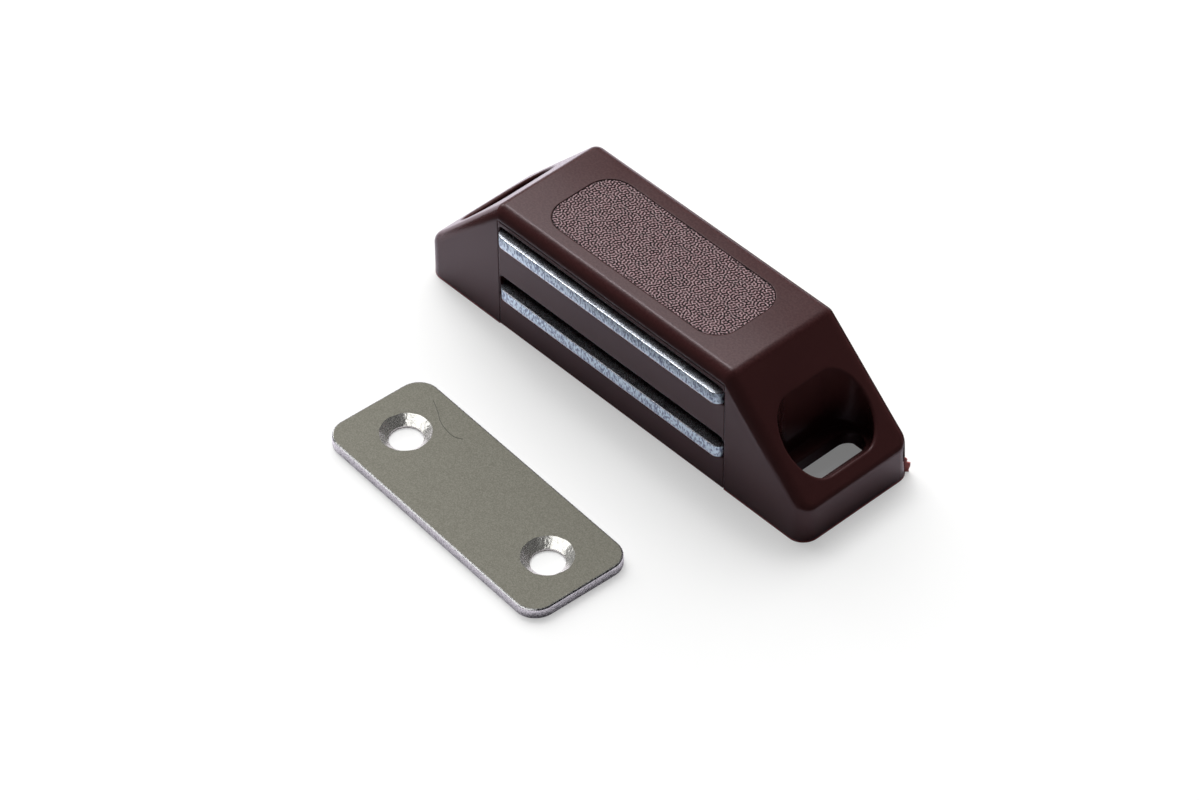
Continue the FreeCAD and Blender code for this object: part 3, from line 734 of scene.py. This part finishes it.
def pick(piece, kind, test):
    """Select the verts, edges or faces of the open mesh that pass the test. How many did."""
    mesh = bmesh.from_edit_mesh(piece.data)
    bpy.ops.mesh.select_all(action="DESELECT")
    chosen = [item for item in getattr(mesh, kind) if test(item)]
    for item in chosen:
        item.select_set(True)
    bmesh.update_edit_mesh(piece.data)
    return len(chosen)


def settle(piece):
    """Put the object's place into its mesh, so that the object sits at the origin."""
    make_active(piece)
    bpy.ops.object.transform_apply(location=True, rotation=True, scale=True)


def apply_modifier(piece, kind, **options):
    make_active(piece)
    bpy.ops.object.modifier_add(type=kind)
    modifier = piece.modifiers[-1]
    for name, value in options.items():
        setattr(modifier, name, value)
    bpy.ops.object.modifier_apply(modifier=modifier.name)


def smooth_by_angle(piece, degrees):
    make_active(piece)
    bpy.ops.object.shade_smooth_by_angle(angle=math.radians(degrees))


def hand_over(piece, name, body, replaces=()):
    """Name the piece, let it ride on its body, and hide the parts that it replaces."""
    piece.name = name
    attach(piece, body)
    if replaces:
        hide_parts(*replaces)
    print(name, "has", len(piece.data.polygons), "faces")
    return piece


def block(low, high):
    """A box between two corners, with its size in its mesh."""
    middle = (Vector(low) + Vector(high)) / 2
    bpy.ops.object.select_all(action="DESELECT")
    bpy.ops.mesh.primitive_cube_add(size=1, location=middle)
    piece = bpy.context.object
    piece.scale = Vector(high) - Vector(low)
    settle(piece)
    return piece


# %% [markdown]
# The housing's form comes from the frame: its drafted walls, sloped ends, screw pockets and
# pole slots are exact there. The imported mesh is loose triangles, though, and would shade in
# facets. A copy is welded, and its normals are weighted by face size, so flat walls stay flat
# and the roundings between them run smoothly.

# %% Housing
SHELL_SHARP = 31
FLAT_WITHIN = 0.4


def welded_copy(node):
    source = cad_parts[node]
    piece = bpy.data.objects.new(node + "_copy", source.data.copy())
    bpy.context.scene.collection.objects.link(piece)
    piece.data.materials.clear()
    make_active(piece)
    bpy.ops.mesh.customdata_custom_splitnormals_clear()
    open_edit(piece, "VERT")
    bpy.ops.mesh.select_all(action="SELECT")
    bpy.ops.mesh.remove_doubles(threshold=WELD)
    bpy.ops.mesh.dissolve_limited(angle_limit=math.radians(FLAT_WITHIN))
    close_edit()
    return piece


def make_housing(material):
    piece = welded_copy("housing")
    smooth_by_angle(piece, SHELL_SHARP)
    apply_modifier(piece, "WEIGHTED_NORMAL", mode="FACE_AREA", weight=100, keep_sharp=True)
    piece.data.materials.append(material)
    return hand_over(piece, "housing_shell", "catch_body", ["housing"])


make_housing(make_brown_plastic())
housing_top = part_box("housing")[1].z

# %% [markdown]
# The grained panel lies in its shallow recess. A fine grid is cut to the rounded outline and
# pushed up and down, and its crests stay below the top. Plane waves of nearly one length,
# summed over all directions, give the even, worm-like grains of the photograph, which a cloud
# texture would make blotchy. A smooth groove is left along the outline. The rim runs a little
# way under the edge of the recess, and the piece is closed below, so it is a solid sheet.

# %% Grained panel
PANEL_LENGTH = 26.8 * MM
PANEL_WIDTH = 10.1 * MM
PANEL_RADIUS = 3.0 * MM
PANEL_RECESS = 0.08 * MM
PANEL_LAP = 0.07 * MM
GRID_STEP = 0.056 * MM
GRAIN_LENGTHS = (0.27 * MM, 0.39 * MM)
GRAIN_WAVES = 14
GRAIN_SEED = 5
GRAIN_MIDDLE = 0.030 * MM
GRAIN_SWING = 0.024 * MM
GRAIN_LIMIT = 0.045 * MM
CREST_FROM = 0.018 * MM
CREST_FULL = 0.060 * MM
# The outline groove lies below the crests, so it takes the painted shade colour as a dark line
GROOVE_WIDTH = 0.09 * MM
GROOVE_FLOOR = 0.004 * MM
PANEL_UNDERSIDE = 0.25 * MM
PANEL_SHARP = 50


def outside_panel(place, lap):
    """How far a point lies outside the panel's rounded outline, grown by the lap."""
    along = max(abs(place.x) - PANEL_LENGTH / 2 + PANEL_RADIUS, 0.0)
    across = max(abs(place.y) - PANEL_WIDTH / 2 + PANEL_RADIUS, 0.0)
    return math.hypot(along, across) - PANEL_RADIUS - lap


def grain_waves():
    """The waves that sum to the grain: each one's turning along X and along Y, and its start."""
    dice = random.Random(GRAIN_SEED)
    waves = []
    for number in range(GRAIN_WAVES):
        direction = math.pi * (number + dice.random()) / GRAIN_WAVES
        turning = 2 * math.pi / dice.uniform(*GRAIN_LENGTHS)
        waves.append((turning * math.cos(direction), turning * math.sin(direction),
                      dice.uniform(0, 2 * math.pi)))
    return waves


def grain_height(x, y, waves):
    total = sum(math.sin(x * along + y * across + start) for along, across, start in waves)
    swing = GRAIN_SWING * total / math.sqrt(GRAIN_WAVES / 2)
    return GRAIN_MIDDLE + max(-GRAIN_LIMIT, min(GRAIN_LIMIT, swing))


def panel_grid(floor_level):
    """A fine flat grid with the panel's rounded outline."""
    length = PANEL_LENGTH + 2 * PANEL_LAP
    width = PANEL_WIDTH + 2 * PANEL_LAP
    bpy.ops.object.select_all(action="DESELECT")
    bpy.ops.mesh.primitive_grid_add(x_subdivisions=round(length / GRID_STEP),
                                    y_subdivisions=round(width / GRID_STEP),
                                    size=1, location=(0, 0, floor_level))
    piece = bpy.context.object
    piece.scale = (length, width, 1)
    settle(piece)
    open_edit(piece, "VERT")
    pick(piece, "verts", lambda v: outside_panel(v.co, PANEL_LAP) > 0)
    bpy.ops.mesh.delete(type="VERT")
    close_edit()
    return piece


def make_panel(top_level):
    floor_level = top_level - PANEL_RECESS
    piece = panel_grid(floor_level)
    waves = grain_waves()
    for vertex in piece.data.vertices:
        in_groove = outside_panel(vertex.co, 0) > -GROOVE_WIDTH
        height = GROOVE_FLOOR if in_groove else grain_height(vertex.co.x, vertex.co.y, waves)
        vertex.co.z = floor_level + height
    open_edit(piece, "EDGE")
    pick(piece, "edges", lambda e: e.is_boundary)
    bpy.ops.mesh.extrude_edges_move()
    underside = floor_level - PANEL_UNDERSIDE
    bpy.ops.transform.resize(value=(1, 1, 0), center_override=(0, 0, underside))
    bpy.ops.mesh.edge_face_add()
    bpy.ops.mesh.select_all(action="SELECT")
    bpy.ops.mesh.normals_make_consistent(inside=False)
    close_edit()
    smooth_by_angle(piece, PANEL_SHARP)
    finish = make_grained_plastic(floor_level + CREST_FROM, floor_level + CREST_FULL)
    piece.data.materials.append(finish)
    return hand_over(piece, "grained_panel", "catch_body")


make_panel(housing_top)

# %% [markdown]
# A pole plate is a strip with two rounded front corners. It starts as a block the size of the
# frame's plate. The corners are beveled, then the whole rim, and the front is divided into
# small facets that are pushed in and out a hundredth of a millimetre, as shearing leaves them.
# The shear also leaves a lip along the lower edge: above it the front is set back, with a
# narrow ledge below and above, and the ledges and the rim catch the light.

# %% Pole plates
POLE_CORNER = 1.1 * MM
POLE_RIM = 0.08 * MM
LIP_TOP = 0.24 * MM
LIP_DEPTH = 0.12 * MM
LEDGE = 0.056 * MM
SHEAR_STEP = 0.28 * MM
SHEAR_DEPTH = 0.012 * MM
SHEAR_NOISE = 0.9
SHEAR_SHIFT = 0.6
# How much of a face's normal points up: a rim lies between two values, a side is below one
RIM_TILT = (0.25, 0.995)
SIDE_TILT = 0.35
PLATE_SHARP = 40
TOLERANCE = 0.004 * MM


def divide_front(piece, low, high):
    """Cut the long flat front into small facets: first along it, then up it."""
    for level in (low.z + LIP_TOP - LEDGE, low.z + LIP_TOP, high.z - POLE_RIM - LEDGE):
        bpy.ops.mesh.select_all(action="SELECT")
        bpy.ops.mesh.bisect(plane_co=(0, 0, level), plane_no=(0, 0, 1))
    pick(piece, "edges", lambda e: all(v.co.y < low.y + POLE_RIM + TOLERANCE for v in e.verts)
         and abs(e.verts[0].co.x - e.verts[1].co.x) > high.x)
    bpy.ops.mesh.subdivide(number_cuts=round((high.x - low.x) / SHEAR_STEP))


def roughen_front(piece, low, high):
    """Set the face back above its lip, and push it in and out along Y by a fixed noise."""
    for vertex in piece.data.vertices:
        depth = vertex.co.y - low.y
        inside = abs(vertex.co.x) < high.x - POLE_CORNER - TOLERANCE
        top = high.z - POLE_RIM - LEDGE
        above_lip = low.z + LIP_TOP - TOLERANCE < vertex.co.z < top + TOLERANCE
        if depth < TOLERANCE and inside and above_lip:
            vertex.co.y += LIP_DEPTH
        if depth < POLE_RIM:
            lump = noise.noise(vertex.co / SHEAR_STEP * SHEAR_NOISE)
            vertex.co.y += SHEAR_DEPTH * (lump + SHEAR_SHIFT)


def make_pole_plate(node, rolled, cut, burnished):
    low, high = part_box(node)
    piece = block(low, high)
    open_edit(piece, "EDGE")
    pick(piece, "edges", lambda e: all(v.co.y < low.y + TOLERANCE for v in e.verts)
         and abs(e.verts[0].co.x - e.verts[1].co.x) < TOLERANCE)
    bpy.ops.mesh.bevel(offset=POLE_CORNER, segments=8, affect="EDGES")
    pick(piece, "edges", lambda e: abs(e.verts[0].co.z - e.verts[1].co.z) < TOLERANCE
         and max(v.co.y for v in e.verts) > low.y - TOLERANCE)
    bpy.ops.mesh.bevel(offset=POLE_RIM, segments=4, affect="EDGES")
    divide_front(piece, low, high)
    close_edit()
    roughen_front(piece, low, high)
    for finish in (rolled, cut, burnished):
        piece.data.materials.append(finish)
    for face in piece.data.polygons:
        on_front = face.center.y < low.y + POLE_RIM
        on_rim = RIM_TILT[0] < face.normal.z < RIM_TILT[1]
        on_lip = face.center.z < low.z + LIP_TOP
        rubbed = on_front and (on_lip or on_rim)
        face.material_index = 2 if rubbed else 1 if abs(face.normal.z) < SIDE_TILT else 0
    smooth_by_angle(piece, PLATE_SHARP)
    return hand_over(piece, node + "_dressed", "magnet_pack", [node])


plated_steel = make_plated_steel()
cut_steel = make_cut_steel()
burnished_steel = make_burnished_steel()
pole_plates = [make_pole_plate(node, plated_steel, cut_steel, burnished_steel)
               for node in ("lower_pole_plate", "upper_pole_plate")]

# %% [markdown]
# The magnet's plain ground block is right as the frame has it. It only needs its finish.

# %% Magnet
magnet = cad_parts["magnet"]
magnet.data.materials.clear()
magnet.data.materials.append(make_ferrite())
print("magnet keeps its", len(magnet.data.polygons), "faces")

# %% [markdown]
# The counter plate is stamped. Stamping rolls the upper edge over and leaves the lower one
# sharp. The blank is a block with beveled corners and a rolled rim. A pin with a cone on it is
# taken out of it for each screw, and the cone is rippled as a chattering tool leaves it.

# %% Counter plate
STRIKE_LENGTH = 34.9 * MM
STRIKE_WIDTH = 13.2 * MM
STRIKE_CORNER = 2.5 * MM
STRIKE_ROLL = 0.24 * MM
STRIKE_BURR = 0.07 * MM
STRIKE_TURN = math.radians(-3.2)
HOLE_SPACING = 23.5 * MM
HOLE_WIDTH = 3.7 * MM
SEAT_WIDTH = 5.6 * MM
SEAT_DEPTH = 0.95 * MM
SEAT_SIDES = 72
SEAT_RINGS = 5
# Each hole's side of the middle, and where its tool began
SEATS = ((-1, 0.4), (1, 2.1))
CHATTER_DEPTH = 0.024 * MM
# Ripples round the cone, their share, where they start, and how they climb per millimetre
CHATTER = ((9, 1.0, 0.0, 0.0), (5, 0.7, 1.3, 0.0), (17, 0.5, 0.0, 4.0))
# How much of a face's normal points up or down, at most, in a seat and on the rolled edge
SEAT_TILT = 0.95
ROLL_TILT = 0.97
STRIKE_SHARP = 32


def strike_place():
    """Where the blank goes on the table, and how thick it is."""
    low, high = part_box("strike_plate")
    return Matrix.Translation(((low.x + high.x) / 2, (low.y + high.y) / 2, low.z)) @ \
        Matrix.Rotation(STRIKE_TURN, 4, "Z"), high.z - low.z


def ripple_cone(piece, centre, phase):
    for vertex in piece.data.vertices:
        away = vertex.co - centre
        radius = math.hypot(away.x, away.y)
        if radius > HOLE_WIDTH / 2 + TOLERANCE:
            angle = math.atan2(away.y, away.x) + phase
            ripple = sum(share * math.sin(waves * angle + start + vertex.co.z / MM * climb)
                         for waves, share, start, climb in CHATTER)
            scale = 1 + CHATTER_DEPTH * ripple / radius
            vertex.co.x = centre.x + away.x * scale
            vertex.co.y = centre.y + away.y * scale


def screw_cutter(middle, thickness, phase):
    """The tool for one hole: a pin, and a cone that grows from it ring by ring."""
    bpy.ops.object.select_all(action="DESELECT")
    bpy.ops.mesh.primitive_cylinder_add(vertices=SEAT_SIDES, radius=HOLE_WIDTH / 2,
                                        depth=thickness * 2, location=(middle, 0, 0))
    piece = bpy.context.object
    settle(piece)
    open_edit(piece, "FACE")
    pick(piece, "faces", lambda f: f.normal.z > 0.9)
    bpy.ops.transform.translate(value=(0, 0, -SEAT_DEPTH))
    grow = (SEAT_WIDTH - HOLE_WIDTH) / 2
    for ring in range(SEAT_RINGS):
        before = HOLE_WIDTH / 2 + grow * ring / SEAT_RINGS
        after = HOLE_WIDTH / 2 + grow * (ring + 1) / SEAT_RINGS
        bpy.ops.mesh.extrude_region_move(
            TRANSFORM_OT_translate={"value": (0, 0, SEAT_DEPTH / SEAT_RINGS)})
        bpy.ops.transform.resize(value=(after / before, after / before, 1),
                                 center_override=(middle, 0, 0))
    bpy.ops.mesh.extrude_region_move(TRANSFORM_OT_translate={"value": (0, 0, thickness)})
    close_edit()
    ripple_cone(piece, Vector((middle, 0, 0)), phase)
    return piece


def cut_with(piece, cutter):
    apply_modifier(piece, "BOOLEAN", operation="DIFFERENCE", solver="EXACT", object=cutter)
    bpy.data.objects.remove(cutter)


def make_strike_plate(satin, bright, sheared):
    place, thickness = strike_place()
    half_length = STRIKE_LENGTH / 2
    half_width = STRIKE_WIDTH / 2
    piece = block((-half_length, -half_width, 0), (half_length, half_width, thickness))
    open_edit(piece, "EDGE")
    pick(piece, "edges", lambda e: abs(e.verts[0].co.z - e.verts[1].co.z) > TOLERANCE)
    bpy.ops.mesh.bevel(offset=STRIKE_CORNER, segments=14, affect="EDGES")
    pick(piece, "edges", lambda e: all(v.co.z > thickness - TOLERANCE for v in e.verts))
    bpy.ops.mesh.bevel(offset=STRIKE_ROLL, segments=6, affect="EDGES")
    pick(piece, "edges", lambda e: all(v.co.z < TOLERANCE for v in e.verts))
    bpy.ops.mesh.bevel(offset=STRIKE_BURR, segments=2, affect="EDGES")
    close_edit()
    for side, phase in SEATS:
        cut_with(piece, screw_cutter(side * HOLE_SPACING / 2, thickness, phase))
    piece.data.materials.clear()
    for finish in (satin, bright, sheared):
        piece.data.materials.append(finish)
    for face in piece.data.polygons:
        reach = min(math.hypot(face.center.x - side * HOLE_SPACING / 2, face.center.y)
                    for side, phase in SEATS)
        in_hole = reach < SEAT_WIDTH / 2 and abs(face.normal.z) < SEAT_TILT
        on_side = abs(face.normal.z) < ROLL_TILT and not in_hole
        face.material_index = 1 if in_hole else 2 if on_side else 0
    piece.matrix_world = place
    settle(piece)
    smooth_by_angle(piece, STRIKE_SHARP)
    apply_modifier(piece, "WEIGHTED_NORMAL", mode="FACE_AREA", weight=60, keep_sharp=True)
    return hand_over(piece, "counter_plate", "catch_body", ["strike_plate"])


strike = make_strike_plate(make_satin_nickel(), make_bright_nickel(), make_sheared_nickel())

# %% [markdown]
# Two small accidents make both parts look used. At one foot of the housing the mould left a
# torn fin of flash, so thin that light would shine through it, and that glow is painted on as
# red. A hair-fine scratch wanders over the counter plate near its upper hole. The fin is a small
# grid set to its torn outline and thickened, and the scratch is a path with a round section,
# sunk into the plate by half.

# %% Flash and a scratch
FIN_FOOT = Vector((28.30, 7.40, 0.0)) * MM
FIN_OUTWARD = Vector((0.657, 0.753, 0.0))
# In millimetres: how far the fin reaches out, and at what height
FIN_OUTLINE = [(0.42, 0.00), (0.38, 0.33), (0.53, 0.77), (0.55, 1.24), (0.17, 1.38),
               (0.22, 1.76), (0.02, 2.00)]
FIN_ROOT = 0.30
FIN_THICKNESS = 0.13 * MM
FIN_ROUGHNESS = 0.35
# In millimetres, along X and Y
SCRATCH_PATH = [(-12.34, -21.58), (-10.85, -22.19), (-9.36, -23.22), (-7.66, -23.59),
                (-6.49, -23.65), (-5.80, -23.15)]
SCRATCH_WIDTH = 0.055 * MM
SCRATCH_DIRT = (0.060, 0.056, 0.045, 1.0)
DIRT_ROUGHNESS = 0.60


def plain_material(name, colour, roughness):
    material, tree, shader, _ = start_material(name)
    set_inputs(tree, shader, {"Base Color": colour, "Roughness": roughness})
    return material


def make_flash_fin():
    bpy.ops.object.select_all(action="DESELECT")
    bpy.ops.mesh.primitive_grid_add(x_subdivisions=1, y_subdivisions=len(FIN_OUTLINE) - 1, size=2)
    piece = bpy.context.object
    rows = sorted({round(v.co.y, 4) for v in piece.data.vertices})
    for vertex in piece.data.vertices:
        reach, level = FIN_OUTLINE[rows.index(round(vertex.co.y, 4))]
        outward = reach if vertex.co.x > 0 else -FIN_ROOT
        vertex.co = FIN_FOOT + FIN_OUTWARD * outward * MM + Vector((0, 0, level * MM))
    apply_modifier(piece, "SOLIDIFY", thickness=FIN_THICKNESS, offset=0)
    # The fin's red is a painted glow of light shining through it
    piece.data.materials.append(plain_material("flash_painted_glow", PAINTED_RED_GLOW, FIN_ROUGHNESS))
    return hand_over(piece, "flash_fin", "catch_body")


def make_scratch(top_level):
    bpy.ops.object.select_all(action="DESELECT")
    bpy.ops.curve.primitive_nurbs_path_add()
    piece = bpy.context.object
    path = piece.data.splines[0]
    path.points.add(len(SCRATCH_PATH) - len(path.points))
    path.order_u = 3
    for point, (x, y) in zip(path.points, SCRATCH_PATH):
        point.co = (x * MM, y * MM, top_level, 1)
    piece.data.bevel_depth = SCRATCH_WIDTH / 2
    piece.data.bevel_resolution = 2
    piece.data.use_fill_caps = True
    bpy.ops.object.convert(target="MESH")
    settle(piece)
    piece.data.materials.clear()
    piece.data.materials.append(plain_material("scratch_dirt", SCRATCH_DIRT, DIRT_ROUGHNESS))
    return hand_over(piece, "plate_scratch", "catch_body")


make_flash_fin()
make_scratch(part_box("strike_plate")[1].z)

# %% [markdown]
# The counter plate was photographed by itself, with one more lamp in front of it: its near edge
# shines and its screw seats are bright where the catch's own front is dark. So the housing
# doesn't mirror it either. A narrow lamp draws the bright line on the pole plates' edges. Light
# linking gives each of these lamps its receivers, so the brown plastic stays as it is.

# %% Lamps for the metal only
PLATE_LAMP = ("plate_lamp", (-0.15, -0.80, 0.58), 0.55, 0.30, 1.00, 1.5)
EDGE_LAMP = ("edge_lamp", (-0.542, -0.26, 0.80), 0.60, 0.12, 0.40, 2.0)


def light_only(lamp, pieces):
    receivers = bpy.data.collections.new("lit_by_" + lamp.name)
    for piece in pieces:
        receivers.objects.link(piece)
    lamp.light_linking.receiver_collection = receivers
    print(lamp.name, "lights", ", ".join(piece.name for piece in pieces))


light_only(add_lamp(*PLATE_LAMP), [strike])
strike.visible_glossy = False
light_only(add_lamp(*EDGE_LAMP), pole_plates)

# %% [markdown]
# Last, everything is deselected.

# %% Deselect everything
bpy.ops.object.select_all(action="DESELECT")
